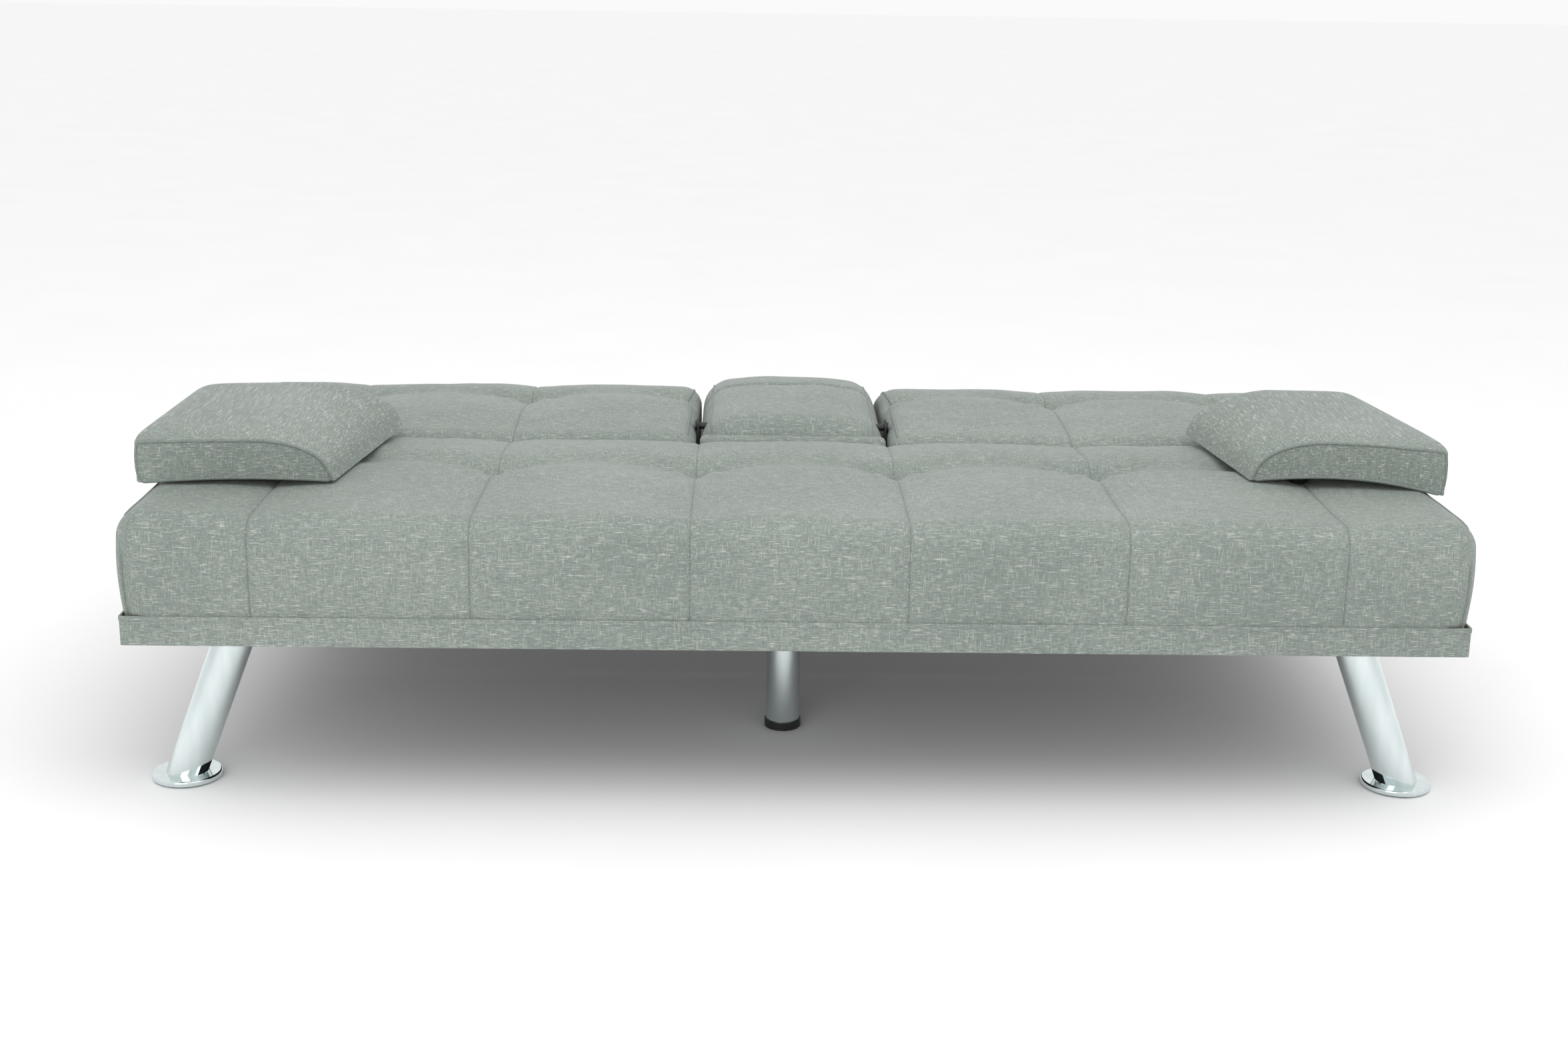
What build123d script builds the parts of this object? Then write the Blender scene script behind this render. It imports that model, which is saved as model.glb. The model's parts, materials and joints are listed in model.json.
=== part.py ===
from build123d import *
import os
from math import cos, radians, sin, tan

# Futon sofa bed, stored flat as a bed. Millimetres, +Z up, the front faces -Y.
# The origin is on the floor, under the middle of the bed.

# --- driving dimensions -------------------------------------------------------------------
half_length = 825.0  # middle of the bed to the outside of the skirt band at either end
half_depth = 485.0  # middle to the front and to the rear of the skirt band
seam_gap = 2.0  # the seat and the back each stop this far from the seam at y = 0
frame_bottom = 205.0  # underside of the wooden rails
rail_height = 32.0
rail_width = 25.0
band_bottom = 204.0  # skirt band round the rails
band_height = 37.0
band_thickness = 2.0
cover_thickness = 1.0  # black dust covers under both frames
foam_bottom = 244.5
mattress_top = 367.0
cushion_half_length = 828.0  # the cushions bulge a little past the band
cushion_rear = half_depth - 3.0
back_fall = (200.0, 77.0)  # length and drop of the back's rounded rear edge

pivot_y = 30.0  # axis of the click-clack hinges, which run along X
pivot_z = 332.0
pivot_edge = 28.0  # radius of the back's front top edge about that axis
hinge_x = 775.0  # inner face of the seat's hinge plates
seat_plate_thickness = 5.0
washer_thickness = 1.5
back_plate_thickness = 4.0
neck_half_width = 16.0  # upright part of the seat's hinge plates
pivot_bolt_radius = 6.0
running_clearance = 0.05

console_half_width = 133.5
console_top = 380.0
console_rear = 470.0
console_bottom = 256.0
console_axis_y = 100.0  # axis of the console's rod, along X
console_axis_z = 352.0
console_nose = 75.0  # radius of the console's front end about its own axis
console_fall = (190.0, 80.0)  # length and drop of the console's rounded rear end
console_rod_radius = 5.0
bay_half_width = 139.0  # inner faces of the rails beside the console
cup_spacing = 120.0
cup_y = 300.0
cup_radius = 38.0
cup_depth = 50.0
tray_thickness = 8.0

leg_radius = 25.0
leg_wall = 1.5
leg_lean = 21.2  # degrees outwards from vertical
leg_plate_thickness = 4.0
foot_x = 776.0
foot_radius = 44.0
foot_top = 9.0
glide_thickness = 2.0
front_foot_y = -403.0
rear_foot_y = 225.0
center_leg_x = -13.0
center_leg_y = -204.0
center_leg_radius = 23.0

arm_x = (780.0, 810.0)  # steel arms under the frame, which carry the rear legs
arm_z = (158.0, 198.0)
arm_y = (-300.0, 245.0)
arm_wall = 2.0

pad_thickness = 64.0
pad_bottom = 369.0
pad_nose = 100.0  # how far from the nose the top starts to round over
# Corners of the loose armrest pads, which lie a little askew: outer front, nose front, then rear.
pad_corners = {
    "left": ((-838.0, -338.0), (-587.0, -323.0), (-828.0, -42.0), (-549.0, -8.0)),
    "right": ((838.0, -309.0), (589.0, -269.0), (790.0, -8.0), (557.0, -2.0)),
}

wire_radius = 1.8
wire_z = 240.3
screw_radius = 3.0
bolt_radius = 4.0
hole_clearance = 0.15
soft_edge = 14.0

frame_top = frame_bottom + rail_height
rail_outer_x = half_length - band_thickness - 0.3
rail_outer_y = half_depth - band_thickness - 0.3
side_rail_inner_x = 777.7
back_rail_inner_x = hinge_x + seat_plate_thickness + washer_thickness + back_plate_thickness
front_rail_y = -rail_outer_y + rail_width
rear_rail_y = rail_outer_y - rail_width
seat_rear_rail = (-34.0, -9.0)
back_front_rail = (52.0, 77.0)
corner_block_x = 640.0
center_rail_half_width = 45.0
plate_bottom = band_bottom - leg_plate_thickness
SIDES = (("left", -1), ("right", 1))

os.makedirs("parts", exist_ok=True)


def save(piece, name):
    """Label a finished piece and write it as its own STEP file."""
    piece.part.label = name
    export_step(piece.part, f"parts/{name}.step")


def board(name, x, y, z, holes=(), hole_radius=0.0, edge=1.5):
    """A rectangular board or block between pairs of x, y and z, with upright holes right through."""
    with BuildPart() as piece:
        with BuildSketch(Plane.XY.offset(z[0])):
            with Locations(((x[0] + x[1]) / 2, (y[0] + y[1]) / 2)):
                Rectangle(abs(x[1] - x[0]), abs(y[1] - y[0]))
            if holes:
                with Locations(*holes):
                    Circle(hole_radius, mode=Mode.SUBTRACT)
        extrude(amount=z[1] - z[0])
        if edge:
            chamfer(piece.edges().filter_by(Axis.X) + piece.edges().filter_by(Axis.Y), edge)
    save(piece, name)


def spread(center, size_x, size_y):
    """The four corners of a rectangular hole pattern."""
    return [(center[0] + i * size_x / 2, center[1] + j * size_y / 2) for i in (-1, 1) for j in (-1, 1)]


def side_plane(s, x):
    """Upright plane across the bed, at a distance from the middle on one side."""
    return Plane.YZ.offset(s * x)


def lean_x(z):
    """Distance of a splayed leg's centre line from the middle, at a height."""
    return foot_x - (z - foot_top) * tan(radians(leg_lean))


# --- hole patterns shared by the legs, the frame and the screws --------------------------------
front_plate_x = lean_x(plate_bottom)
rear_plate_x = lean_x(arm_z[0] - leg_plate_thickness)
front_screws = [p for _, s in SIDES for p in spread((s * front_plate_x, front_foot_y), 80.0, 60.0)]
center_screws = spread((center_leg_x, center_leg_y), 66.0, 66.0)
rear_screws = [(s * (rear_plate_x + d), rear_foot_y) for _, s in SIDES for d in (-40.0, 40.0)]
arm_middle_x = sum(arm_x) / 2
arm_bolts = [(s * arm_middle_x, y) for _, s in SIDES for y in (-260.0, -60.0)]
plate_bolt_points = ((-10.0, sum(arm_z) / 2), (70.0, sum(arm_z) / 2))


# --- seat frame: pine rails, corner blocks and a middle board --------------------------------
screw_hole = screw_radius + hole_clearance
bolt_hole = bolt_radius + hole_clearance
frame_z = (frame_bottom, frame_top)
board("seat_front_rail", (-rail_outer_x, rail_outer_x), (-rail_outer_y, front_rail_y), frame_z)
board("seat_rear_rail", (-rail_outer_x, rail_outer_x), seat_rear_rail, frame_z)
center_rail_x = (center_leg_x - center_rail_half_width, center_leg_x + center_rail_half_width)
between_rails = (front_rail_y, seat_rear_rail[0])
board("seat_center_rail", center_rail_x, between_rails, frame_z, center_screws, screw_hole)
for side, s in SIDES:
    own_bolts = [p for p in arm_bolts if p[0] * s > 0]
    own_screws = [p for p in front_screws if p[0] * s > 0]
    rail_x = (s * side_rail_inner_x, s * rail_outer_x)
    block_x = (s * corner_block_x, s * side_rail_inner_x)
    block_y = (front_rail_y, front_rail_y + 115.0)
    board(f"seat_side_rail_{side}", rail_x, between_rails, frame_z, own_bolts, bolt_hole)
    board(f"front_corner_block_{side}", block_x, block_y, frame_z, own_screws, screw_hole)

# --- back frame: outer rails, and two rails beside the console bay ------------------------------
front_end_x = hinge_x + seat_plate_thickness + washer_thickness
board("back_front_rail", (-front_end_x, front_end_x), back_front_rail, frame_z)
board("back_rear_rail", (-back_rail_inner_x, back_rail_inner_x), (rear_rail_y, rail_outer_y), frame_z)
for side, s in SIDES:
    outer_rail_x = (s * back_rail_inner_x, s * rail_outer_x)
    bay_rail_x = (s * bay_half_width, s * (bay_half_width + rail_width))
    board(f"back_side_rail_{side}", outer_rail_x, (6.0, rail_outer_y), frame_z)
    board(f"console_bay_rail_{side}", bay_rail_x, (back_front_rail[1], rear_rail_y), frame_z)
lip_x = (-console_half_width, console_half_width)
board("console_lip_board", lip_x, (3.0, back_front_rail[0]), frame_z)


# --- sinuous springs across both frames, held by folded clips on the rails ----------------------
def sinuous_springs(name, xs, y_front, y_rear):
    """Zigzag spring steel from rail to rail: straight rungs joined by short links at alternate ends."""
    half_rung = 22.0
    rungs = 14
    pitch = (y_rear - y_front) / (rungs - 1)
    with BuildPart() as springs:
        with BuildSketch(Plane.XY.offset(wire_z - wire_radius)):
            with Locations(*[(x, y_front + rung * pitch) for x in xs for rung in range(rungs)]):
                Rectangle(2 * half_rung, 2 * wire_radius)
            links = [(rung, half_rung if rung % 2 else -half_rung) for rung in range(rungs - 1)]
            link_points = [(x + end, y_front + (rung + 0.5) * pitch) for x in xs for rung, end in links]
            with Locations(*link_points):
                Rectangle(2 * wire_radius, pitch + 2 * wire_radius)
        extrude(amount=2 * wire_radius)
    save(springs, name)


def spring_clips(name, xs, ends):
    """Folded steel clips: a sleeve round the end rung and a tail lying on the rail."""
    sleeve_radius = 3.2
    tail_thickness = 1.2
    clip_width = 16.0
    with BuildPart() as clips:
        for x in xs:
            for y, inward in ends:
                with BuildSketch(Plane.YZ.offset(x - clip_width / 2)):
                    with Locations((y, wire_z)):
                        Rectangle(2 * sleeve_radius, 2 * sleeve_radius)
                        Rectangle(2 * wire_radius + 0.2, 2 * wire_radius + 0.2, mode=Mode.SUBTRACT)
                    with Locations((y - inward * 8.0, wire_z - sleeve_radius + tail_thickness / 2)):
                        Rectangle(11.0, tail_thickness)
                extrude(amount=clip_width)
    save(clips, name)


end_inset = 7.0
seat_spring_x = [-680, -520, -360, -200, 175, 335, 495, 655]
seat_spring_y = (front_rail_y - end_inset, seat_rear_rail[0] + end_inset)
sinuous_springs("seat_springs", seat_spring_x, *seat_spring_y)
spring_clips("seat_spring_clips", seat_spring_x, ((seat_spring_y[0], 1), (seat_spring_y[1], -1)))
back_spring_x = [s * x for _, s in SIDES for x in (250, 400, 550, 700)]
back_spring_y = (back_front_rail[1] - end_inset, rear_rail_y + end_inset)
sinuous_springs("back_springs", back_spring_x, *back_spring_y)
spring_clips("back_spring_clips", back_spring_x, ((back_spring_y[0], 1), (back_spring_y[1], -1)))

# --- black dust covers stapled under both frames ------------------------------------------------
cover_z = (band_bottom, frame_bottom)
cover_half_x = half_length - 5.0
with BuildPart() as seat_dust_cover:
    with BuildSketch(Plane.XY.offset(cover_z[0])):
        with Locations((0, -half_depth / 2 - 2.5)):
            Rectangle(2 * cover_half_x, half_depth - 15.0)
        with Locations(*front_screws, *center_screws):
            Circle(screw_hole, mode=Mode.SUBTRACT)
        with Locations(*arm_bolts):
            Circle(bolt_hole, mode=Mode.SUBTRACT)
    extrude(amount=cover_thickness)
save(seat_dust_cover, "seat_dust_cover")

with BuildPart() as back_dust_cover:
    with BuildSketch(Plane.XY.offset(cover_z[0])):
        with Locations((0, half_depth / 2 + 1.5)):
            Rectangle(2 * cover_half_x, half_depth - 13.0)
        with Locations(*[(s * (hinge_x + 2.5), 30.0) for _, s in SIDES]):
            Rectangle(11.0, 60.0, mode=Mode.SUBTRACT)
    extrude(amount=cover_thickness)
save(back_dust_cover, "back_dust_cover")

# --- skirt bands: covered strips round three sides of each frame ---------------------------------
for name, s in (("seat_skirt", -1), ("back_skirt", 1)):
    with BuildPart() as skirt:
        with BuildSketch(Plane.XY.offset(band_bottom)):
            with Locations((0, s * (half_depth + seam_gap) / 2)):
                Rectangle(2 * half_length, half_depth - seam_gap)
            inside = (2 * (half_length - band_thickness), half_depth - band_thickness)
            with Locations((0, s * inside[1] / 2)):
                Rectangle(*inside, mode=Mode.SUBTRACT)
        extrude(amount=band_height)
    save(skirt, name)

# --- seat cushion ---------------------------------------------------------------------------------
with BuildPart() as seat_cushion:
    with BuildSketch(Plane.YZ.offset(-cushion_half_length)):
        with BuildLine():
            Polyline(
                (-seam_gap, foam_bottom),
                (-cushion_rear, foam_bottom),
                (-cushion_rear, mattress_top),
                (-seam_gap, mattress_top),
                close=True,
            )
        profile = make_face()
        fillet(profile.vertices().group_by(Axis.Y)[-1].sort_by(Axis.X)[0], 30.0)
        fillet(profile.vertices().sort_by(Axis.Y)[-1], 18.0)
    extrude(amount=2 * cushion_half_length)
    ends = seat_cushion.faces().sort_by(Axis.X)
    fillet(ends[0].edges() + ends[-1].edges(), soft_edge)
save(seat_cushion, "seat_cushion")


# --- back cushions: rolled front edge, and a slot in the outer end for the hinge -----------------
slot_x = (hinge_x - 10.5, back_rail_inner_x + 11.5)
slot_low = (21.0, 284.5, 54.0, 100.0)  # middle and size of the room for the seat's plate
slot_high = (10.0, 312.0, 32.0, 64.0)  # room for that plate's neck as the back turns
slot_round = 22.0  # room for the plates' round heads
slot_rear = ((28.0, 235.0), (28.0, 335.0), (50.0, 335.0), (114.0, 235.0))  # room for the toothed plate
rod_recess = (9.5, 5.0)  # radius and depth of the hollow for the console rod's end
cushion_inner_x = bay_half_width + 1.0
roll_top = pivot_z + pivot_edge
for side, s in SIDES:
    low_x, high_x = sorted((s * cushion_inner_x, s * cushion_half_length))
    fall_y = cushion_rear - back_fall[0]
    fall_z = mattress_top - back_fall[1]
    with BuildPart() as back_cushion:
        with BuildSketch(Plane.YZ.offset(low_x)):
            with BuildLine():
                Line((seam_gap, foam_bottom), (seam_gap, pivot_z))
                CenterArc((pivot_y, pivot_z), pivot_edge, 90, 90)
                Line((pivot_y, roll_top), (75.0, mattress_top))
                Line((75.0, mattress_top), (fall_y, mattress_top))
                EllipticalCenterArc((fall_y, fall_z), *back_fall, arc_size=90)
                Line((cushion_rear, fall_z), (cushion_rear, foam_bottom))
                Line((cushion_rear, foam_bottom), (seam_gap, foam_bottom))
            make_face()
        extrude(amount=high_x - low_x)
        outer_end = back_cushion.faces().sort_by(Axis.X)[0 if s < 0 else -1]
        fillet(outer_end.edges(), soft_edge)
        with BuildSketch(Plane.YZ.offset(min(s * slot_x[0], s * slot_x[1]))):
            for y, z, width, height in (slot_low, slot_high):
                with Locations((y, z)):
                    Rectangle(width, height)
            with Locations((pivot_y, pivot_z)):
                Circle(slot_round)
            with BuildLine():
                Polyline(*slot_rear, close=True)
            make_face()
        extrude(amount=slot_x[1] - slot_x[0], mode=Mode.SUBTRACT)
        with BuildSketch(Plane.YZ.offset(s * cushion_inner_x)):
            with Locations((console_axis_y, console_axis_z)):
                Circle(rod_recess[0])
        extrude(amount=s * rod_recess[1], mode=Mode.SUBTRACT)
    save(back_cushion, f"back_cushion_{side}")

# --- padded lip in front of the console, on its own board -----------------------------------------
with BuildPart() as console_lip_cushion:
    lip_rear = 23.0
    with BuildSketch(Plane.YZ.offset(lip_x[0])):
        with BuildLine():
            Line((seam_gap, frame_top), (seam_gap, pivot_z))
            lip_arc = CenterArc((pivot_y, pivot_z), pivot_edge, 180, -60)
            Line(lip_arc @ 1, (lip_rear, (lip_arc @ 1).Y))
            Line((lip_rear, (lip_arc @ 1).Y), (lip_rear, frame_top))
            Line((lip_rear, frame_top), (seam_gap, frame_top))
        make_face()
    extrude(amount=2 * console_half_width)
save(console_lip_cushion, "console_lip_cushion")

# --- legs: chrome tubes welded to screw plates, leaning outwards ----------------------------------
def splayed_leg(name, s, y, top_z, plate_size, screws):
    """Tube between a sloping top and foot, cut level at both, welded under its plate."""
    weld_z = top_z - leg_plate_thickness
    direction = (-s * sin(radians(leg_lean)), 0, cos(radians(leg_lean)))
    with BuildPart() as leg:
        with BuildSketch(Plane(origin=(s * foot_x, y, foot_top), z_dir=direction).offset(-30)):
            Circle(leg_radius)
            Circle(leg_radius - leg_wall, mode=Mode.SUBTRACT)
        extrude(amount=top_z + 80)
        split(bisect_by=Plane.XY.offset(foot_top), keep=Keep.TOP)
        split(bisect_by=Plane.XY.offset(weld_z), keep=Keep.BOTTOM)
        with BuildSketch(Plane.XY.offset(weld_z)):
            with Locations((s * lean_x(weld_z), y)):
                RectangleRounded(*plate_size, 8)
            with Locations(*screws):
                Circle(screw_hole, mode=Mode.SUBTRACT)
        extrude(amount=leg_plate_thickness)
    save(leg, name)


for side, s in SIDES:
    front_own = [p for p in front_screws if p[0] * s > 0]
    rear_own = [p for p in rear_screws if p[0] * s > 0]
    splayed_leg(f"front_leg_{side}", s, front_foot_y, band_bottom, (100.0, 80.0), front_own)
    splayed_leg(f"rear_leg_{side}", s, rear_foot_y, arm_z[0], (100.0, 40.0), rear_own)

# --- round chrome feet screwed on the four leaning legs, and the felt glides under them -----------
foot_points = [(s * foot_x, y) for _, s in SIDES for y in (front_foot_y, rear_foot_y)]
with BuildPart() as leg_feet:
    with BuildSketch(Plane.XY.offset(glide_thickness)):
        with Locations(*foot_points):
            Circle(foot_radius)
    extrude(amount=foot_top - glide_thickness)
    fillet(leg_feet.edges().group_by(Axis.Z)[-1], 2.5)
    chamfer(leg_feet.edges().group_by(Axis.Z)[0], 1.0)
save(leg_feet, "leg_feet")

with BuildPart() as foot_glides:
    with BuildSketch(Plane.XY):
        with Locations(*foot_points):
            Circle(foot_radius - 5.0)
    extrude(amount=glide_thickness)
save(foot_glides, "foot_glides")

# --- upright middle leg with a black plastic cap ---------------------------------------------------
cap_floor = 3.0
with BuildPart() as center_leg:
    with BuildSketch(Plane.XY.offset(cap_floor)):
        with Locations((center_leg_x, center_leg_y)):
            Circle(center_leg_radius)
            Circle(center_leg_radius - leg_wall, mode=Mode.SUBTRACT)
    extrude(amount=plate_bottom - cap_floor)
    with BuildSketch(Plane.XY.offset(plate_bottom)):
        with Locations((center_leg_x, center_leg_y)):
            RectangleRounded(86.0, 86.0, 8)
        with Locations(*center_screws):
            Circle(screw_hole, mode=Mode.SUBTRACT)
    extrude(amount=leg_plate_thickness)
save(center_leg, "center_leg")

with BuildPart() as center_leg_cap:
    with BuildSketch(Plane.XY):
        with Locations((center_leg_x, center_leg_y)):
            Circle(center_leg_radius + 1.8)
    extrude(amount=12.0)
    chamfer(center_leg_cap.edges().sort_by(Axis.Z)[0], 1.5)
    with BuildSketch(Plane.XY.offset(cap_floor)):
        with Locations((center_leg_x, center_leg_y)):
            Circle(center_leg_radius + running_clearance)
    extrude(amount=12.0, mode=Mode.SUBTRACT)
save(center_leg_cap, "center_leg_cap")

# --- screws of all the leg plates, heads down ------------------------------------------------------
head_height = 2.5
with BuildPart() as leg_screws:
    wood_screws = (plate_bottom, front_screws + center_screws, 25.0)
    tube_screws = (arm_z[0] - leg_plate_thickness, rear_screws, 12.0)
    for seat_z, points, length in (wood_screws, tube_screws):
        with BuildSketch(Plane.XY.offset(seat_z - head_height)):
            with Locations(*points):
                Circle(2 * screw_radius)
        extrude(amount=head_height)
        with BuildSketch(Plane.XY.offset(seat_z)):
            with Locations(*points):
                Circle(screw_radius)
        extrude(amount=length)
save(leg_screws, "leg_screws")

# --- steel arms under the seat, with the tube that carries the rear legs ----------------------------
spacer_half = 20.0
arm_size = (arm_x[1] - arm_x[0], arm_z[1] - arm_z[0])
for side, s in SIDES:
    own_bolts = [p for p in arm_bolts if p[0] * s > 0]
    with BuildPart() as rear_arm:
        with BuildSketch(Plane.XZ.offset(-arm_y[0])):
            with Locations((s * arm_middle_x, sum(arm_z) / 2)):
                Rectangle(*arm_size)
                Rectangle(arm_size[0] - 2 * arm_wall, arm_size[1] - 2 * arm_wall, mode=Mode.SUBTRACT)
        extrude(amount=arm_y[0] - arm_y[1])
        with BuildSketch(Plane.XY.offset(arm_z[0])):
            with Locations(*own_bolts):
                Circle(bolt_hole)
        extrude(amount=arm_size[1], mode=Mode.SUBTRACT)
        with BuildSketch(Plane.YZ.offset(min(s * arm_x[0], s * arm_x[1]))):
            with Locations(*plate_bolt_points):
                Circle(bolt_hole)
        extrude(amount=arm_size[0], mode=Mode.SUBTRACT)
    save(rear_arm, f"rear_arm_{side}")

with BuildPart() as rear_arm_spacers:
    with BuildSketch(Plane.XY.offset(arm_z[1])):
        with Locations(*arm_bolts):
            Rectangle(arm_size[0], 2 * spacer_half)
            Circle(bolt_hole, mode=Mode.SUBTRACT)
    extrude(amount=band_bottom - arm_z[1])
save(rear_arm_spacers, "rear_arm_spacers")

tube_half_width = 20.0
tube_x = arm_x[0]
with BuildPart() as rear_cross_tube:
    with BuildSketch(Plane.YZ.offset(-tube_x)):
        with Locations((rear_foot_y, sum(arm_z) / 2)):
            Rectangle(2 * tube_half_width, arm_size[1])
            Rectangle(2 * (tube_half_width - arm_wall), arm_size[1] - 2 * arm_wall, mode=Mode.SUBTRACT)
    extrude(amount=2 * tube_x)
    with BuildSketch(Plane.XY.offset(arm_z[0])):
        with Locations(*rear_screws):
            Circle(screw_hole)
    extrude(amount=arm_wall, mode=Mode.SUBTRACT)
save(rear_cross_tube, "rear_cross_tube")

with BuildPart() as back_rest_bumpers:
    with BuildSketch(Plane.XY.offset(arm_z[1])):
        with Locations(*[(x, rear_foot_y) for x in (-600.0, -200.0, 200.0, 600.0)]):
            Circle(9.0)
    extrude(amount=band_bottom - arm_z[1] - 0.3)
    chamfer(back_rest_bumpers.edges().group_by(Axis.Z)[-1], 1.0)
save(back_rest_bumpers, "back_rest_bumpers")

bolt_head_height = 5.0
bolt_head_radius = 7.0
plate_bolt_length = 41.0
with BuildPart() as bolts_of_arms:
    with BuildSketch(Plane.XY.offset(arm_z[0] - bolt_head_height)):
        with Locations(*arm_bolts):
            RegularPolygon(bolt_head_radius, 6)
    extrude(amount=bolt_head_height)
    with BuildSketch(Plane.XY.offset(arm_z[0])):
        with Locations(*arm_bolts):
            Circle(bolt_radius)
    extrude(amount=frame_top - 4.0 - arm_z[0])
    for _, s in SIDES:
        head = (hinge_x - bolt_head_height, bolt_head_height, bolt_head_radius)
        for start_x, length, radius in (head, (hinge_x, plate_bolt_length, bolt_radius)):
            with BuildSketch(side_plane(s, start_x)):
                with Locations(*plate_bolt_points):
                    Circle(radius)
            extrude(amount=s * length)
save(bolts_of_arms, "arm_bolts")

# --- click-clack hinges --------------------------------------------------------------------------------
# Each end has a plate bolted to the steel arm, a toothed plate screwed to the back's side rail,
# a shoulder bolt through both, and a sprung pawl below the teeth.
pawl_x = hinge_x + seat_plate_thickness + washer_thickness
pawl_pin = (20.0, 290.0)
pawl_radius = 3.0
tooth_angles = (255.0, 217.0, 180.0)
hinge_points = ((105.0, 221.0), (170.0, 221.0))  # wood screws of the hinge plates
bracket_points = ((98.0, 221.0), (135.0, 221.0))  # wood screws of the console brackets
head_radius = 20.0
seat_plate_neck = (261.0, 142.0)  # middle height and length of the seat plate's upright part
seat_plate_foot = (178.0, 120.0, 36.0)  # middle height, length and height of its bolted part


def polar(radius, angle):
    """A point at a radius and angle from the hinge axis, in the plane of the hinge plates."""
    return (pivot_y + radius * cos(radians(angle)), pivot_z + radius * sin(radians(angle)))


for side, s in SIDES:
    with BuildPart() as seat_plate:
        with BuildSketch(side_plane(s, hinge_x)):
            with Locations((pivot_y, seat_plate_neck[0])):
                Rectangle(2 * neck_half_width, seat_plate_neck[1])
            with Locations((pivot_y, seat_plate_foot[0])):
                RectangleRounded(*seat_plate_foot[1:], 6.0)
            with Locations((pivot_y, pivot_z)):
                Circle(head_radius)
                Circle(pivot_bolt_radius + running_clearance, mode=Mode.SUBTRACT)
            with Locations(pawl_pin):
                Circle(pawl_radius + running_clearance, mode=Mode.SUBTRACT)
            with Locations(*plate_bolt_points):
                Circle(bolt_hole, mode=Mode.SUBTRACT)
        extrude(amount=s * seat_plate_thickness)
    save(seat_plate, f"hinge_seat_plate_{side}")

    with BuildPart() as back_plate:
        with BuildSketch(side_plane(s, pawl_x)):
            with Locations((pivot_y, pivot_z), (98.0, 226.0)):
                Circle(13.0)
            make_hull()
            with Locations((pivot_y, pivot_z)):
                Circle(head_radius)
            with Locations((130.0, 221.0)):
                RectangleRounded(120.0, 28.0, 6.0)
            with Locations(*[polar(head_radius + 1.0, angle) for angle in tooth_angles]):
                Circle(pawl_radius, mode=Mode.SUBTRACT)
            with Locations((pivot_y, pivot_z)):
                Circle(pivot_bolt_radius + running_clearance, mode=Mode.SUBTRACT)
            with Locations(*hinge_points):
                Circle(screw_hole, mode=Mode.SUBTRACT)
        extrude(amount=s * back_plate_thickness)
    save(back_plate, f"hinge_back_plate_{side}")

with BuildPart() as hinge_washers:
    for _, s in SIDES:
        with BuildSketch(side_plane(s, hinge_x + seat_plate_thickness)):
            with Locations((pivot_y, pivot_z)):
                Circle(13.0)
                Circle(pivot_bolt_radius + running_clearance, mode=Mode.SUBTRACT)
        extrude(amount=s * (washer_thickness - 0.1))
save(hinge_washers, "hinge_washers")

with BuildPart() as pivot_bolts:
    for _, s in SIDES:
        with BuildSketch(side_plane(s, hinge_x - 7.0)):
            with Locations((pivot_y, pivot_z)):
                Circle(11.0)
        extrude(amount=s * 7.0)
        with BuildSketch(side_plane(s, hinge_x)):
            with Locations((pivot_y, pivot_z)):
                Circle(pivot_bolt_radius)
        extrude(amount=s * 19.0)
save(pivot_bolts, "hinge_pivot_bolts")

with BuildPart() as hinge_nuts:
    for _, s in SIDES:
        with BuildSketch(side_plane(s, back_rail_inner_x + 0.4)):
            with Locations((pivot_y, pivot_z)):
                RegularPolygon(10.5, 6)
                Circle(pivot_bolt_radius + running_clearance, mode=Mode.SUBTRACT)
        extrude(amount=s * 8.0)
        with BuildSketch(side_plane(s, arm_x[1])):
            with Locations(*plate_bolt_points):
                RegularPolygon(7.5, 6)
                Circle(bolt_radius + running_clearance, mode=Mode.SUBTRACT)
        extrude(amount=s * 6.0)
save(hinge_nuts, "hinge_nuts")

with BuildPart() as pawls:
    for _, s in SIDES:
        with BuildSketch(side_plane(s, pawl_x)):
            with Locations(pawl_pin):
                Circle(5.5)
            with Locations(polar(head_radius + 4.5, tooth_angles[0])):
                Circle(pawl_radius - 0.3)
            make_hull()
        extrude(amount=s * back_plate_thickness)
        with BuildSketch(side_plane(s, hinge_x - 7.0)):
            with Locations(pawl_pin):
                Circle(pawl_radius)
        extrude(amount=s * (pawl_x - hinge_x + 7.0))
save(pawls, "hinge_pawls")

coil_radius = 4.2
coil_wire = 0.5
with BuildPart() as pawl_springs:
    for _, s in SIDES:
        start = (s * (hinge_x - 6.2), *pawl_pin)
        with BuildLine() as coil:
            Helix(pitch=1.3, height=5.2, radius=coil_radius, center=start, direction=(s, 0, 0))
        with BuildSketch(Plane(origin=coil.line @ 0, z_dir=coil.line % 0)):
            Circle(coil_wire)
        sweep(path=coil.wires()[0], is_frenet=True)
save(pawl_springs, "hinge_pawl_springs")

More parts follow.
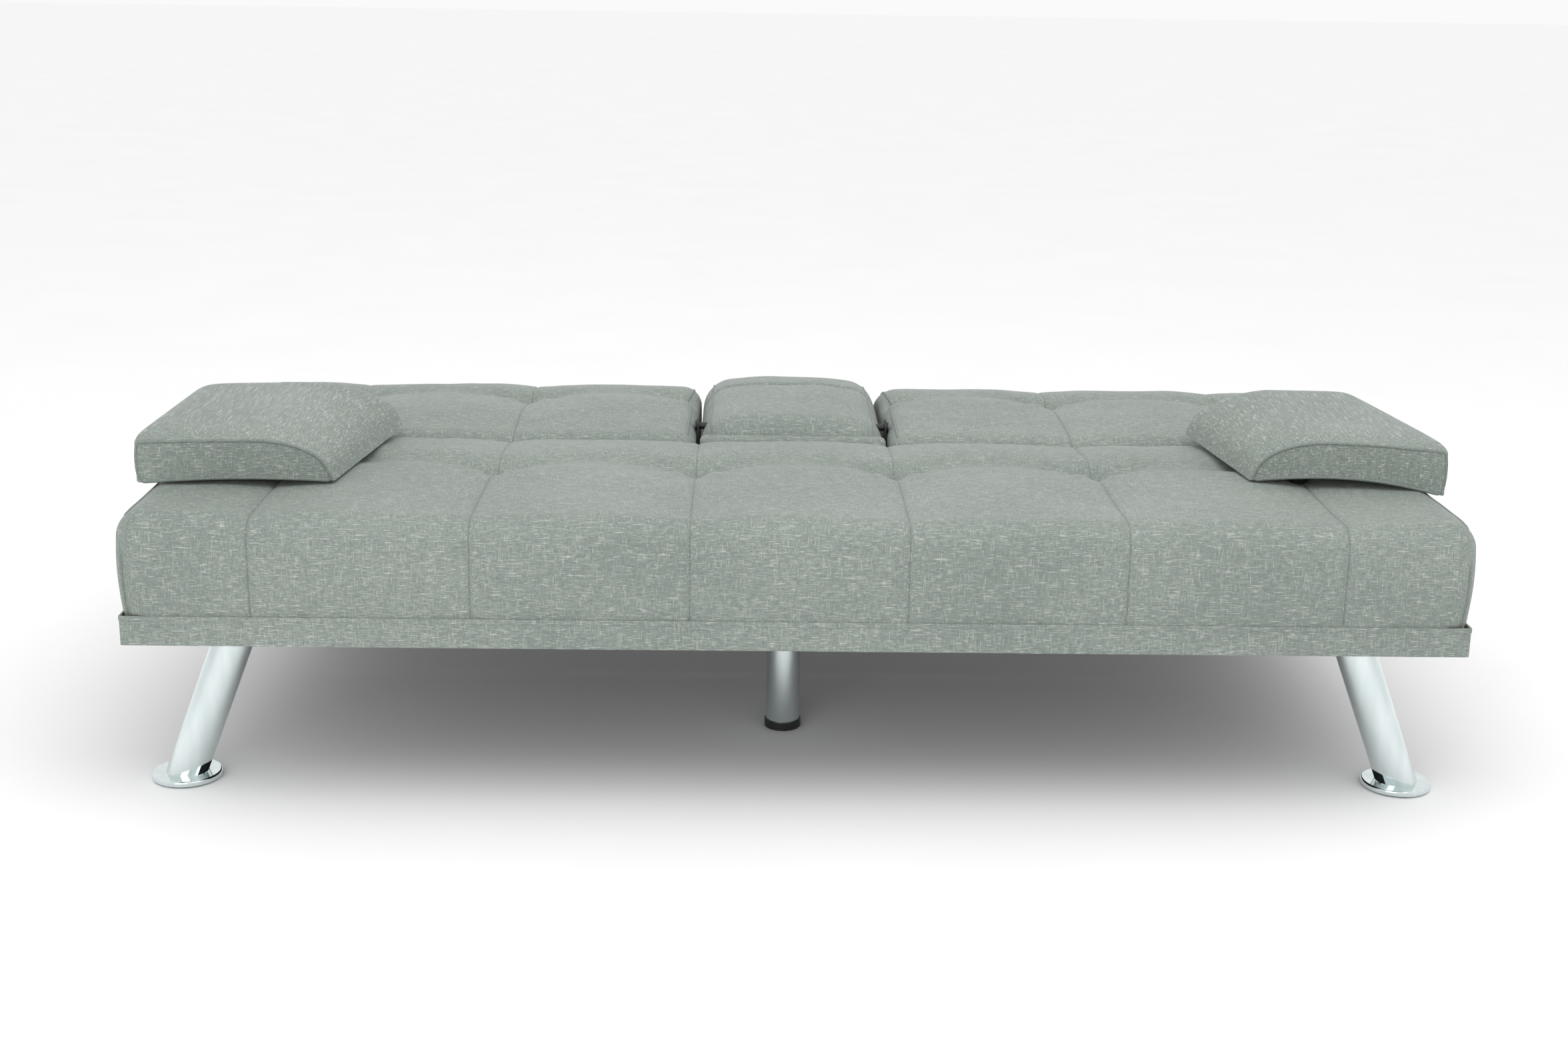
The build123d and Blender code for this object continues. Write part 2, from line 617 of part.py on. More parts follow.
# --- console: foam block on a black tray board with two cups, turning on a steel rod ----------------------
tray_y = (88.0, console_rear - 12.0)
tray_half_width = console_half_width - 5.5
cup_points = [(-cup_spacing / 2, cup_y), (cup_spacing / 2, cup_y)]
cup_pocket = cup_radius + 1.0
tray_top = console_bottom + tray_thickness
crown_y = console_rear - console_fall[0]
crown_z = console_top - console_fall[1]
with BuildPart() as console_cushion:
    with BuildSketch(Plane.YZ.offset(-console_half_width)):
        with BuildLine():
            nose = CenterArc((console_axis_y, console_axis_z), console_nose, 180, 75)
            Line(nose @ 1, (tray_y[0], tray_top))
            Line((tray_y[0], tray_top), (console_rear, tray_top))
            Line((console_rear, tray_top), (console_rear, crown_z))
            EllipticalCenterArc((crown_y, crown_z), *console_fall, arc_size=90)
            Line((crown_y, console_top), (console_axis_y - 30, console_top))
            Line((console_axis_y - 30, console_top), nose @ 0)
        make_face()
    extrude(amount=2 * console_half_width)
    with BuildSketch(Plane.XY.offset(console_bottom)):
        with Locations(*cup_points):
            Circle(cup_pocket)
    extrude(amount=cup_depth + 2.0, mode=Mode.SUBTRACT)
    with BuildSketch(Plane.YZ.offset(-console_half_width)):
        with Locations((console_axis_y, console_axis_z)):
            Circle(console_rod_radius + 0.1)
    extrude(amount=2 * console_half_width, mode=Mode.SUBTRACT)
save(console_cushion, "console_cushion")

with BuildPart() as console_tray:
    with BuildSketch(Plane.XY.offset(console_bottom)):
        with Locations((0, sum(tray_y) / 2)):
            RectangleRounded(2 * tray_half_width, tray_y[1] - tray_y[0], 12)
        with Locations(*cup_points):
            Circle(cup_radius + 0.2, mode=Mode.SUBTRACT)
    extrude(amount=tray_thickness)
    chamfer(console_tray.faces().sort_by(Axis.Z)[0].outer_wire().edges(), 1.5)
save(console_tray, "console_tray")

cup_wall = 2.0
for side, s in SIDES:
    with BuildPart() as cup:
        with BuildSketch(Plane.XY.offset(console_bottom - cup_wall)):
            with Locations((s * cup_spacing / 2, cup_y)):
                Circle(cup_radius + 7.0)
        extrude(amount=cup_wall)
        with BuildSketch(Plane.XY.offset(console_bottom)):
            with Locations((s * cup_spacing / 2, cup_y)):
                Circle(cup_radius)
        extrude(amount=cup_depth)
        fillet(cup.edges().sort_by(Axis.Z)[-1], 5.0)
        with BuildSketch(Plane.XY.offset(console_bottom - cup_wall)):
            with Locations((s * cup_spacing / 2, cup_y)):
                Circle(cup_radius - cup_wall)
        extrude(amount=cup_depth, mode=Mode.SUBTRACT)
    save(cup, f"cup_holder_{side}")

bracket_x = bay_half_width - 3.0
with BuildPart() as console_rod:
    with BuildSketch(Plane.YZ.offset(-bay_half_width - 0.6)):
        with Locations((console_axis_y, console_axis_z)):
            Circle(console_rod_radius)
    extrude(amount=2 * bay_half_width + 1.2)
    for _, s in SIDES:
        with BuildSketch(side_plane(s, bay_half_width + 0.6)):
            with Locations((console_axis_y, console_axis_z)):
                Circle(8.0)
        extrude(amount=s * 2.5)
save(console_rod, "console_rod")

for side, s in SIDES:
    with BuildPart() as bracket:
        with BuildSketch(side_plane(s, bracket_x)):
            with Locations((console_axis_y, console_axis_z)):
                Circle(12.0)
            with Locations((90.5, frame_bottom + 16.0), (140.0, frame_bottom + 16.0)):
                Circle(12.0)
            make_hull()
            with Locations((console_axis_y, console_axis_z)):
                Circle(console_rod_radius + running_clearance, mode=Mode.SUBTRACT)
            with Locations(*bracket_points):
                Circle(screw_hole, mode=Mode.SUBTRACT)
        extrude(amount=s * 3.0)
    save(bracket, f"console_bracket_{side}")

with BuildPart() as frame_screws:
    for _, s in SIDES:
        heads = ((hinge_points, pawl_x - 2.5), (bracket_points, bracket_x - 2.5))
        for points, head_x in heads:
            for inner, length, radius in ((head_x, 2.5, 5.5), (head_x + 2.5, 3.0, screw_radius)):
                with BuildSketch(side_plane(s, inner)):
                    with Locations(*points):
                        Circle(radius)
                extrude(amount=s * length)
save(frame_screws, "back_frame_screws")

# --- armrest pads: flat outer end, rounded inner nose, lying loose on the seat ----------------------------
for side, (outer_front, nose_front, outer_rear, nose_rear) in pad_corners.items():
    with BuildPart() as pad:
        for outer, tip in ((outer_front, nose_front), (outer_rear, nose_rear)):
            across = (tip[0] - outer[0], tip[1] - outer[1], 0)
            width = Vector(*across).length
            end = Plane(origin=(*outer, pad_bottom), x_dir=across, z_dir=(across[1], -across[0], 0))
            with BuildSketch(end):
                with BuildLine():
                    Line((0, 0), (0, pad_thickness))
                    Line((0, pad_thickness), (width - pad_nose, pad_thickness))
                    EllipticalCenterArc((width - pad_nose, 0), pad_nose, pad_thickness, arc_size=90)
                    Line((width, 0), (0, 0))
                make_face()
        loft()
    save(pad, f"armrest_pad_{side}")
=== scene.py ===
import json
from math import atan2, cos, exp, pi, radians, sin, sqrt

import bmesh
import bpy
from mathutils import Matrix, Vector, noise


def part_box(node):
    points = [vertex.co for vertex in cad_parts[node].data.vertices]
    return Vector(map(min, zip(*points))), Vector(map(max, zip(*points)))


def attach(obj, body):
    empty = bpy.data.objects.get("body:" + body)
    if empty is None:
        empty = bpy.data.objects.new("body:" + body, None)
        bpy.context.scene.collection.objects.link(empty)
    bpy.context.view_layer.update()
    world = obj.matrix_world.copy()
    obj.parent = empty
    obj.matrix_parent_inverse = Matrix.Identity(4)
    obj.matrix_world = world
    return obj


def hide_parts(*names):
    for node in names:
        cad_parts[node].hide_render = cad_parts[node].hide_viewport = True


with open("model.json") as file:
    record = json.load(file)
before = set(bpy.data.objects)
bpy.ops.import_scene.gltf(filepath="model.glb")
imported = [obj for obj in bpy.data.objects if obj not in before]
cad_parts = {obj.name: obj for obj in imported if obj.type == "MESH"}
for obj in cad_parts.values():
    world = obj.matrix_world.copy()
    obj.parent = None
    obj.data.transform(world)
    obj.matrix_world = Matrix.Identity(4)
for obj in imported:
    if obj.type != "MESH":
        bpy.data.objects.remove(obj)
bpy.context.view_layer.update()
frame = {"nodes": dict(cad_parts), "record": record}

scene = bpy.context.scene


# --- camera --------------------------------------------------------------------------------------
# A standing viewer's camera in front of the bed, about chest high and looking a little down.
# It is turned and tipped by about a degree, as a camera held by hand is.
lens = bpy.data.cameras.new("camera")
lens.lens = 48.07
lens.sensor_width = 36.0
camera = bpy.data.objects.new("camera", lens)
scene.collection.objects.link(camera)
camera_place = (-0.0658, -2.908, 1.038)
camera_turn, camera_down, camera_tip = -1.077, 15.47, 0.871
camera.matrix_world = (
    Matrix.Translation(camera_place)
    @ Matrix.Rotation(radians(camera_turn), 4, "Z")
    @ Matrix.Rotation(radians(90.0 - camera_down), 4, "X")
    @ Matrix.Rotation(radians(camera_tip), 4, "Z")
)
scene.camera = camera


# --- studio --------------------------------------------------------------------------------------
# A matt white paper floor in a bright white room, with a wide soft lamp overhead and a lower
# one in front. The paper's fibres give it a very faint mottle.
def linear(code):
    """Linear colour of an sRGB hex code."""
    parts = [int(code[i : i + 2], 16) / 255 for i in (0, 2, 4)]
    return [v / 12.92 if v <= 0.04045 else ((v + 0.055) / 1.055) ** 2.4 for v in parts] + [1.0]


def add_node(tree, kind, inputs=None, **settings):
    """One node with its settings, its inputs set to values or linked from sockets."""
    made = tree.nodes.new(kind)
    for key, value in settings.items():
        setattr(made, key, value)
    for key, value in (inputs or {}).items():
        if isinstance(value, bpy.types.NodeSocket):
            tree.links.new(value, made.inputs[key])
        else:
            made.inputs[key].default_value = value
    return made


def mottled(name, dark, pale, per_metre, height, **values):
    """A finish that wanders between two shades, with so many features to the metre along X, Y, Z."""
    made = bpy.data.materials.new(name)
    made.use_nodes = True
    tree = made.node_tree
    shader = tree.nodes["Principled BSDF"]
    for key, value in values.items():
        shader.inputs[key.replace("_", " ")].default_value = value
    place = add_node(tree, "ShaderNodeTexCoord").outputs["Object"]
    spread = add_node(tree, "ShaderNodeMapping", {"Vector": place, "Scale": per_metre}).outputs[0]
    grain = add_node(
        tree, "ShaderNodeTexNoise", {"Vector": spread, "Scale": 1.0, "Detail": 3.0}
    ).outputs["Fac"]
    evened = add_node(tree, "ShaderNodeMapRange", {"Value": grain, "From Min": 0.3, "From Max": 0.7})
    shades = {0: evened.outputs[0], 6: linear(dark), 7: linear(pale)}
    colour = add_node(tree, "ShaderNodeMix", shades, data_type="RGBA").outputs[2]
    raised = add_node(tree, "ShaderNodeBump", {"Height": grain, "Distance": height})
    tree.links.new(colour, shader.inputs["Base Color"])
    tree.links.new(raised.outputs[0], shader.inputs["Normal"])
    return made


work = bmesh.new()
bmesh.ops.create_grid(work, x_segments=1, y_segments=1, size=30.0)
floor_mesh = bpy.data.meshes.new("studio_floor")
work.to_mesh(floor_mesh)
work.free()
floor_mesh.materials.append(
    mottled("matt_paper", "FAFAFA", "FCFCFC", (3.0, 3.0, 3.0), 0.0001, Roughness=0.95)
)
floor = bpy.data.objects.new("studio_floor", floor_mesh)
scene.collection.objects.link(floor)

world = bpy.data.worlds.new("white_room")
world.use_nodes = True
world.node_tree.nodes["Background"].inputs["Color"].default_value = (1.0, 1.0, 1.0, 1.0)
world.node_tree.nodes["Background"].inputs["Strength"].default_value = 0.955
scene.world = world
scene.view_settings.view_transform = "Standard"
for name, power, size, place, aim in (
    ("overhead_lamp", 24.0, 2.6, (0.3, -0.9, 2.7), (0.0, 0.0, 0.3)),
    ("front_lamp", 26.0, 2.4, (-1.2, -3.8, 0.75), (0.0, -0.4, 0.1)),
):
    lamp = bpy.data.lights.new(name, "AREA")
    lamp.energy = power
    lamp.size = size
    stand = bpy.data.objects.new(name, lamp)
    scene.collection.objects.link(stand)
    stand.location = place
    stand.rotation_euler = (Vector(aim) - Vector(place)).to_track_quat("-Z", "Y").to_euler()


# --- pine rails and boards -----------------------------------------------------------------------
# Sawn pine strips screwed into two frames, left unfinished because cloth hides them. The grain
# runs along the bed, a few millimetres wide.
def finish_nodes(material, *slots):
    """Gives the model's own solids of some material slots their finish."""
    for part in frame["record"]["subparts"]:
        if part["material_slot"] in slots:
            solid = frame["nodes"][part["node"]]
            if not solid.material_slots:
                solid.data.materials.append(material)
            for place in solid.material_slots:
                place.material = material


pine = mottled("sawn_pine", "B4854F", "D9B483", (9.0, 220.0, 220.0), 0.0004, Roughness=0.7)
finish_nodes(pine, "pine")


# --- springs, screws and bolts -------------------------------------------------------------------
# Oiled spring steel zigzags that carry the foam, and bright zinc-plated screws, bolts and nuts.
oiled = mottled(
    "oiled_spring_steel", "4A4B4D", "6A6B6C", (400.0, 400.0, 400.0), 0.0001, Metallic=1.0, Roughness=0.35
)
zinc = mottled("zinc_plate", "9FA3A6", "C2C5C7", (300.0, 300.0, 300.0), 0.0001, Metallic=1.0, Roughness=0.3)
finish_nodes(oiled, "spring_steel")
finish_nodes(zinc, "zinc_steel")


# --- dust covers ---------------------------------------------------------------------------------
# Black spun-bonded polypropylene stapled tight under both frames. Its fibres form a blotchy
# web with clumps a few millimetres across.
spun = mottled("spun_polypropylene", "0D0D0E", "202022", (260.0, 260.0, 260.0), 0.0006, Roughness=0.9)
finish_nodes(spun, "black_nonwoven")


# --- skirt bands ---------------------------------------------------------------------------------
# Linen-covered strips pinned round three sides of each frame, with a folded hem along the top.
# The cloth is woven polyester linen. Its threads are drawn about 1 mm wide, twice as coarse as
# the real ones, so that they show.
# Painted shade: seam_halo and seam_core bound a thin dark line painted down each sunk seam between panels,
# where the seam lies in shade.
seam_core, seam_halo = 0.0020, 0.0055
seam_painted_shade = "4A524C"


def linen(name, ground, shade, slub, fleck=1.0, streaks="X", length=80.0, panel=0.0):
    """Slubbed cloth: length is slubs to the metre, panel is the distance between seams along X, where a thin
    line of painted shade darkens each seam.
    """
    made = bpy.data.materials.new(name)
    made.use_nodes = True
    tree = made.node_tree
    shader = tree.nodes["Principled BSDF"]
    for key, value in (
        ("Roughness", 0.60),
        ("Sheen Weight", 0.16),
        ("Sheen Roughness", 0.4),
        ("Specular IOR Level", 0.50),
    ):
        shader.inputs[key].default_value = value
    place = add_node(tree, "ShaderNodeTexCoord").outputs["Object"]
    along = "XYZ".index(streaks)
    threads = {}
    for thread, lengthwise, across, detail in (
        ("weft", length, 950.0, 2.0),
        ("warp", 950.0, 100.0, 2.0),
        ("yarn", 300.0, 1300.0, 2.0),
        ("cloud", 5.0, 7.0, 2.0),
    ):
        per_metre = [across] * 3
        per_metre[along] = lengthwise
        spread = add_node(tree, "ShaderNodeMapping", {"Vector": place, "Scale": per_metre})
        pattern = {"Vector": spread.outputs[0], "Scale": 1.0, "Detail": detail}
        threads[thread] = add_node(tree, "ShaderNodeTexNoise", pattern).outputs["Fac"]
    colour = linear(ground)
    for thread, low, high, amount, toward in (
        ("cloud", 0.30, 0.72, 0.14, slub),
        ("yarn", 0.56, 0.34, 0.80, shade),
        ("warp", 0.50, 0.30, 0.25, shade),
        ("weft", 0.50, 0.30, 0.45, shade),
        ("warp", 0.55, 0.78, 0.50 * fleck, slub),
        ("weft", 0.53, 0.78, 0.80 * fleck, slub),
    ):
        bounds = {"Value": threads[thread], "From Min": low, "From Max": high, "To Max": amount}
        part = add_node(tree, "ShaderNodeMapRange", bounds, interpolation_type="SMOOTHSTEP").outputs[0]
        shades = {0: part, 6: colour, 7: linear(toward)}
        colour = add_node(tree, "ShaderNodeMix", shades, data_type="RGBA").outputs[2]
    # Painted shade: a thin dark line down each seam between panels, standing in for the shade in the sunk
    # seam.
    if panel:
        x = add_node(tree, "ShaderNodeSeparateXYZ", {0: place}).outputs[0]
        for operation, value in (("DIVIDE", panel), ("FRACT", 0.0), ("SUBTRACT", 0.5), ("ABSOLUTE", 0.0)):
            x = add_node(tree, "ShaderNodeMath", {0: x, 1: value}, operation=operation).outputs[0]
        bounds = {"Value": x, "From Min": seam_halo, "From Max": seam_core, "To Max": 0.36}
        line = add_node(tree, "ShaderNodeMapRange", bounds).outputs[0]
        shades = {0: line, 6: colour, 7: linear(seam_painted_shade)}
        colour = add_node(tree, "ShaderNodeMix", shades, data_type="RGBA").outputs[2]
    tree.links.new(colour, shader.inputs["Base Color"])
    raised = add_node(tree, "ShaderNodeBump", {"Height": threads["weft"], "Distance": 0.0005})
    crossed = {"Height": threads["warp"], "Distance": 0.0004, "Normal": raised.outputs[0]}
    tree.links.new(add_node(tree, "ShaderNodeBump", crossed).outputs[0], shader.inputs["Normal"])
    return made


ground, shade, slub = "7F8982", "69726C", "C0C6C0"
plain_linen = linen("linen_skirt", ground, shade, slub)


def skirt_band(name, body, s):
    """A hemmed strip that runs along one end, round two rolled corners and back along the other."""
    low, high = [Vector(v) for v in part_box(name)]
    thick, hem, hem_height, corner = 0.002, 0.0007, 0.0055, 0.004
    fold, roll = 0.0008, 0.001
    inner_y, outer_y = (high.y, low.y) if s < 0 else (low.y, high.y)
    hem_z = high.z - hem_height
    outline = [(thick, low.z), (0.0, low.z), (0.0, hem_z - fold), (-hem, hem_z), (-hem, high.z - roll)]
    outline += [(0.0, high.z), (thick, high.z)]
    work = bmesh.new()
    end = work.faces.new([work.verts.new((low.x + inward, inner_y, z)) for inward, z in outline])
    run_y = abs(outer_y - inner_y) - corner
    run_x = high.x - low.x - 2 * corner
    corner_y = outer_y - s * corner
    runs = (
        ((0.0, s * run_y, 0.0), (low.x + corner, corner_y)),
        ((run_x, 0.0, 0.0), (high.x - corner, corner_y)),
        ((0.0, -s * run_y, 0.0), None),
    )
    for run, centre in runs:
        grown = bmesh.ops.extrude_face_region(work, geom=[end])["geom"]
        bmesh.ops.translate(work, vec=run, verts=[g for g in grown if isinstance(g, bmesh.types.BMVert)])
        end = next(g for g in grown if isinstance(g, bmesh.types.BMFace))
        if centre:
            turned = bmesh.ops.spin(
                work,
                geom=[end, *end.edges, *end.verts],
                cent=(*centre, 0.0),
                axis=(0.0, 0.0, 1.0),
                angle=-s * pi / 2,
                steps=6,
            )["geom_last"]
            end = next(g for g in turned if isinstance(g, bmesh.types.BMFace))
    bmesh.ops.remove_doubles(work, verts=work.verts, dist=0.00001)
    bmesh.ops.recalc_face_normals(work, faces=work.faces)
    mesh = bpy.data.meshes.new(f"{name}_band")
    work.to_mesh(mesh)
    work.free()
    mesh.materials.append(plain_linen)
    piece = bpy.data.objects.new(f"{name}_band", mesh)
    scene.collection.objects.link(piece)
    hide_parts(name)
    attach(piece, body)


skirt_band("seat_skirt", "seat", -1)
skirt_band("back_skirt", "back", 1)


# --- seat cushion --------------------------------------------------------------------------------
# Foam block in a linen cover sewn from seven panels and pulled down in a row of tufts. The
# foam swells each panel, and the cover is piped round both ends and stapled under the frame.
panel_width = 0.8 / 3
pitch = 0.0065
# The cover's linen has a thin line of painted shade down each sunk seam between panels.
cushion_linen = linen("linen_cushion", ground, shade, slub, panel=panel_width)
piping_linen = linen("linen_piping", "79837C", "626B65", "A9B0AA", fleck=0.6)


mark_rows = (-0.004, -0.0015, 0.0, 0.0015, 0.004)
mark_clear, mark_margin = 0.0045, 0.008


def rows(low, high, pitch, marks=()):
    """Evenly spaced rows between two ends, with close rows either side of each mark."""
    count = max(1, round((high - low) / pitch))
    places = {low + (high - low) * i / count for i in range(1, count)}
    for mark in marks:
        if low + mark_margin < mark < high - mark_margin:
            places = {p for p in places if abs(p - mark) > mark_clear}
            places |= {mark + d for d in mark_rows}
    return [low, *sorted(places), high]


def soft_block(name, xs, ys, zs, shape, *materials):
    """A box cut through at every row, each of its points then put in place by shape."""
    work = bmesh.new()
    bmesh.ops.create_cube(work, size=1.0)
    for vert in work.verts:
        vert.co = [(r[0] if c < 0 else r[-1]) for c, r in zip(vert.co, (xs, ys, zs))]
    for axis, cuts in enumerate((xs, ys, zs)):
        direction = [float(axis == a) for a in range(3)]
        for cut in cuts[1:-1]:
            everything = work.verts[:] + work.edges[:] + work.faces[:]
            middle = [cut * d for d in direction]
            bmesh.ops.bisect_plane(work, geom=everything, dist=1e-6, plane_co=middle, plane_no=direction)
    bmesh.ops.recalc_face_normals(work, faces=work.faces)
    for vert in work.verts:
        vert.co = shape(vert.co.copy())
    for face in work.faces:
        face.smooth = True
    mesh = bpy.data.meshes.new(name)
    work.to_mesh(mesh)
    work.free()
    for material in materials:
        mesh.materials.append(material)
    piece = bpy.data.objects.new(name, mesh)
    scene.collection.objects.link(piece)
    return piece


def drop_faces(piece, unwanted):
    """Leaves out the faces of a cover where it is open."""
    work = bmesh.new()
    work.from_mesh(piece.data)
    faces = [f for f in work.faces if unwanted(f.calc_center_median())]
    bmesh.ops.delete(work, geom=faces, context="FACES")
    work.to_mesh(piece.data)
    work.free()


def roll_edges(point, low, high, radius):
    """A point of a box moved onto the box with rolled edges, and the direction outwards there."""
    core = Vector([min(max(point[a], low[a] + radius), high[a] - radius) for a in range(2)] + [0.0])
    core.z = min(point.z, high[2] - radius)
    away = point - core
    if away.length < 1e-6:
        return point.copy(), Vector((0.0, 0.0, -1.0))
    away.normalize()
    return core + radius * away, away


def share(value, start, length):
    """How far a value lies along a stretch, from 0 at its start to 1 at its end."""
    return min(max((value - start) / length, 0.0), 1.0)


panel_rise, panel_roll, seam_sink = 0.0060, 0.045, 0.0040
crease_depth, crease_width, crease_bend = 0.0180, 0.032, 0.026
tuft_depth, tuft_width = 0.0140, 0.018
wrinkle_height, wrinkle_reach, wrinkle_width = 0.0024, 0.045, 0.026
face_bulge, face_low, face_height = 0.0050, 0.24, 0.12
stitch_depth, stitch_width = 0.0016, 0.0026


def swell(point, out, tuft_y, front):
    """How far the foam lifts the cover: full panels, sunk seams, and a row of tufts in a crease."""
    gap = abs((point.x / panel_width) % 1.0 - 0.5) * panel_width
    full = 1.0 - exp(-gap / panel_roll)
    across = point.y - tuft_y - crease_bend * (1.0 - exp(-gap / 0.05))
    reach = sqrt(gap * gap + (point.y - tuft_y) ** 2)
    turn = atan2(point.y - tuft_y, gap + 1e-6)
    crease = exp(-((across / crease_width) ** 2)) * (0.30 + 0.70 * exp(-gap / 0.060))
    wrinkle = cos(7.0 * turn + 0.6) * exp(-(((reach - wrinkle_reach) / wrinkle_width) ** 2))
    top = panel_rise * full - seam_sink - crease_depth * crease
    top -= tuft_depth * exp(-reach / tuft_width)
    top += wrinkle_height * wrinkle
    height = sin(pi * share(point.z, face_low, face_height))
    face = front * face_bulge * full * height
    stitch = stitch_depth * exp(-((gap / stitch_width) ** 2))
    lump = 0.0024 * noise.noise(point * 9.0) + 0.0010 * noise.noise(point * 26.0)
    up, ahead = max(out.z, 0.0), max(-out.y, 0.0)
    return up * top + ahead * face - stitch * max(up, ahead * front) + lump * max(up, 0.7 * ahead)


def pipe(name, points, body, radius=0.0021, closed=False):
    """Linen-covered cord sewn into a seam, through points on the cover."""
    line = bpy.data.curves.new(name, "CURVE")
    line.dimensions = "3D"
    line.bevel_depth = radius
    line.bevel_resolution = 3
    spline = line.splines.new("NURBS")
    spline.points.add(len(points) - 1)
    for control, point in zip(spline.points, points):
        control.co = (*point, 1.0)
    spline.order_u = 3
    spline.use_endpoint_u = not closed
    spline.use_cyclic_u = closed
    line.materials.append(piping_linen)
    piece = bpy.data.objects.new(name, line)
    scene.collection.objects.link(piece)
    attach(piece, body)


outline_step, outline_tuck = 0.02, 0.004


def end_outline(low, high, shape, x):
    """Points of the piped seam round a block's end: up the front, along the top, down the rear."""
    along = round((high.y - low.y) / outline_step)
    line = [(low.y, low.z + outline_tuck + outline_step * n) for n in range(5)]
    line += [(low.y + outline_step * n, high.z) for n in range(1, along)]
    line += [(high.y, high.z - outline_step * n) for n in range(1, 5)]
    return [shape(Vector((x, y, z))) for y, z in line]


seam_marks = [panel_width * (n + 0.5) for n in range(-4, 4)]
skirt_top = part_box("seat_skirt")[1][2]
tuck_in, end_gap, top_gap = 0.003, 0.002, 0.001
tucked_z = skirt_top - tuck_in
seat_low, seat_high = [Vector(v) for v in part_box("seat_cushion")]
seat_low = Vector((seat_low.x + end_gap, seat_low.y, tucked_z))
seat_high = Vector((seat_high.x - end_gap, seat_high.y - top_gap, seat_high.z - top_gap))
seat_tufts_y, seat_edge = -0.187, 0.029
seat_dip, dip_length, end_bulge = 0.009, 0.15, 0.006


def seat_shape(point):
    """Places a point of the seat's cover, which sinks towards the hinge seam."""
    at, out = roll_edges(point, seat_low, seat_high, seat_edge)
    at += out * swell(at, out, seat_tufts_y, 1.0)
    sink = share(at.y, -0.16, dip_length)
    at.z -= max(out.z, 0.0) * seat_dip * sink * sink
    bulge = end_bulge * sin(pi * share(at.z, face_low, face_height))
    at.x += max(abs(out.x) - 0.5, 0.0) * (bulge if out.x > 0 else -bulge)
    return at


seat_rows = [rows(seat_low[a], seat_high[a], pitch, seam_marks if a == 0 else ()) for a in range(3)]
seat_cover = soft_block("seat_cover", *seat_rows, seat_shape, cushion_linen)
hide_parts("seat_cushion")
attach(seat_cover, "seat")
piping_x = seat_high.x - 0.006
for side, s in (("left", -1), ("right", 1)):
    pipe(f"seat_piping_{side}", end_outline(seat_low, seat_high, seat_shape, s * piping_x), "seat")


# --- back cushions -------------------------------------------------------------------------------
# Two blocks made like the seat, with a front edge rolled about the hinge and a long rounded
# rear edge. A slit low in each outer end lets the hinge plates through.
back_tufts_y, back_edge, back_dip = 0.262, 0.027, 0.008
back_fall_y, back_fall_length, back_fall_drop = 0.250, 0.232, 0.082
slit_x, slit_y, slit_front_y, slit_z = (0.7645, 0.797), 0.118, 0.016, 0.349
bay_piping_x = 0.1465
for side, s in (("left", -1), ("right", 1)):
    low, high = [Vector(v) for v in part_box(f"back_cushion_{side}")]
    low = Vector((low.x + (end_gap if s < 0 else 0.0), low.y + 0.0005, tucked_z))
    high = Vector((high.x - (end_gap if s > 0 else 0.0), high.y, high.z - 0.0015))

    def back_shape(point, low=low, high=high):
        """Places a point of the back's cover."""
        at, out = roll_edges(point, low, high, back_edge)
        at += out * swell(at, out, back_tufts_y, 0.0)
        sink = share(-at.y, -dip_length, dip_length)
        at.z -= max(out.z, 0.0) * back_dip * sink * sink
        past = share(at.y, back_fall_y, back_fall_length)
        drop = back_fall_drop * (1.0 - sqrt(1.0 - past * past))
        at.z = low.z + (at.z - low.z) * (1.0 - drop / (high.z - low.z))
        return at

    back_rows = [rows(low[a], high[a], pitch, seam_marks if a == 0 else ()) for a in range(3)]
    back_rows[0] = sorted({*back_rows[0], *[s * x for x in slit_x]})
    back_cover = soft_block(f"back_cover_{side}", *back_rows, back_shape, cushion_linen)
    drop_faces(
        back_cover,
        lambda c: slit_x[0] < abs(c.x) < slit_x[1]
        and ((c.z < tucked_z + 0.001 and c.y < slit_y) or (c.y < slit_front_y and c.z < slit_z)),
    )
    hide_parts(f"back_cushion_{side}")
    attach(back_cover, "back")
    for edge, x in (("inner", s * bay_piping_x), ("outer", s * piping_x)):
        pipe(f"back_{edge}_piping_{side}", end_outline(low, high, back_shape, x), "back")


# --- console -------------------------------------------------------------------------------------
# Crowned foam block between the back cushions, piped down both sides, with a seam across it.
# Its front end is rounded about its rod; its cover stops at the tray board's edge underneath.
low, high = [Vector(v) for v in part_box("console_cushion")]
console_low = Vector((low.x, low.y + 0.001, low.z))
crown_room = 0.011
console_high = Vector((high.x, high.y, high.z - crown_room))
rod_low, rod_high = [Vector(v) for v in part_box("console_rod")]
rod_y, rod_z = (rod_low.y + rod_high.y) / 2, (rod_low.z + rod_high.z) / 2
tray_low, tray_high = [Vector(v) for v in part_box("console_tray")]
nose_radius = rod_y - low.y
console_seam_y, console_edge, console_crown = 0.258, 0.042, 0.0150
console_fall_y, console_fall_length, console_fall_drop = 0.29, 0.18, 0.072
groove_depth, groove_width, side_bulge = 0.0085, 0.0060, 0.0022
tray_rim, console_piping_in = 0.006, 0.011
console_linen = linen("linen_console", ground, shade, slub)


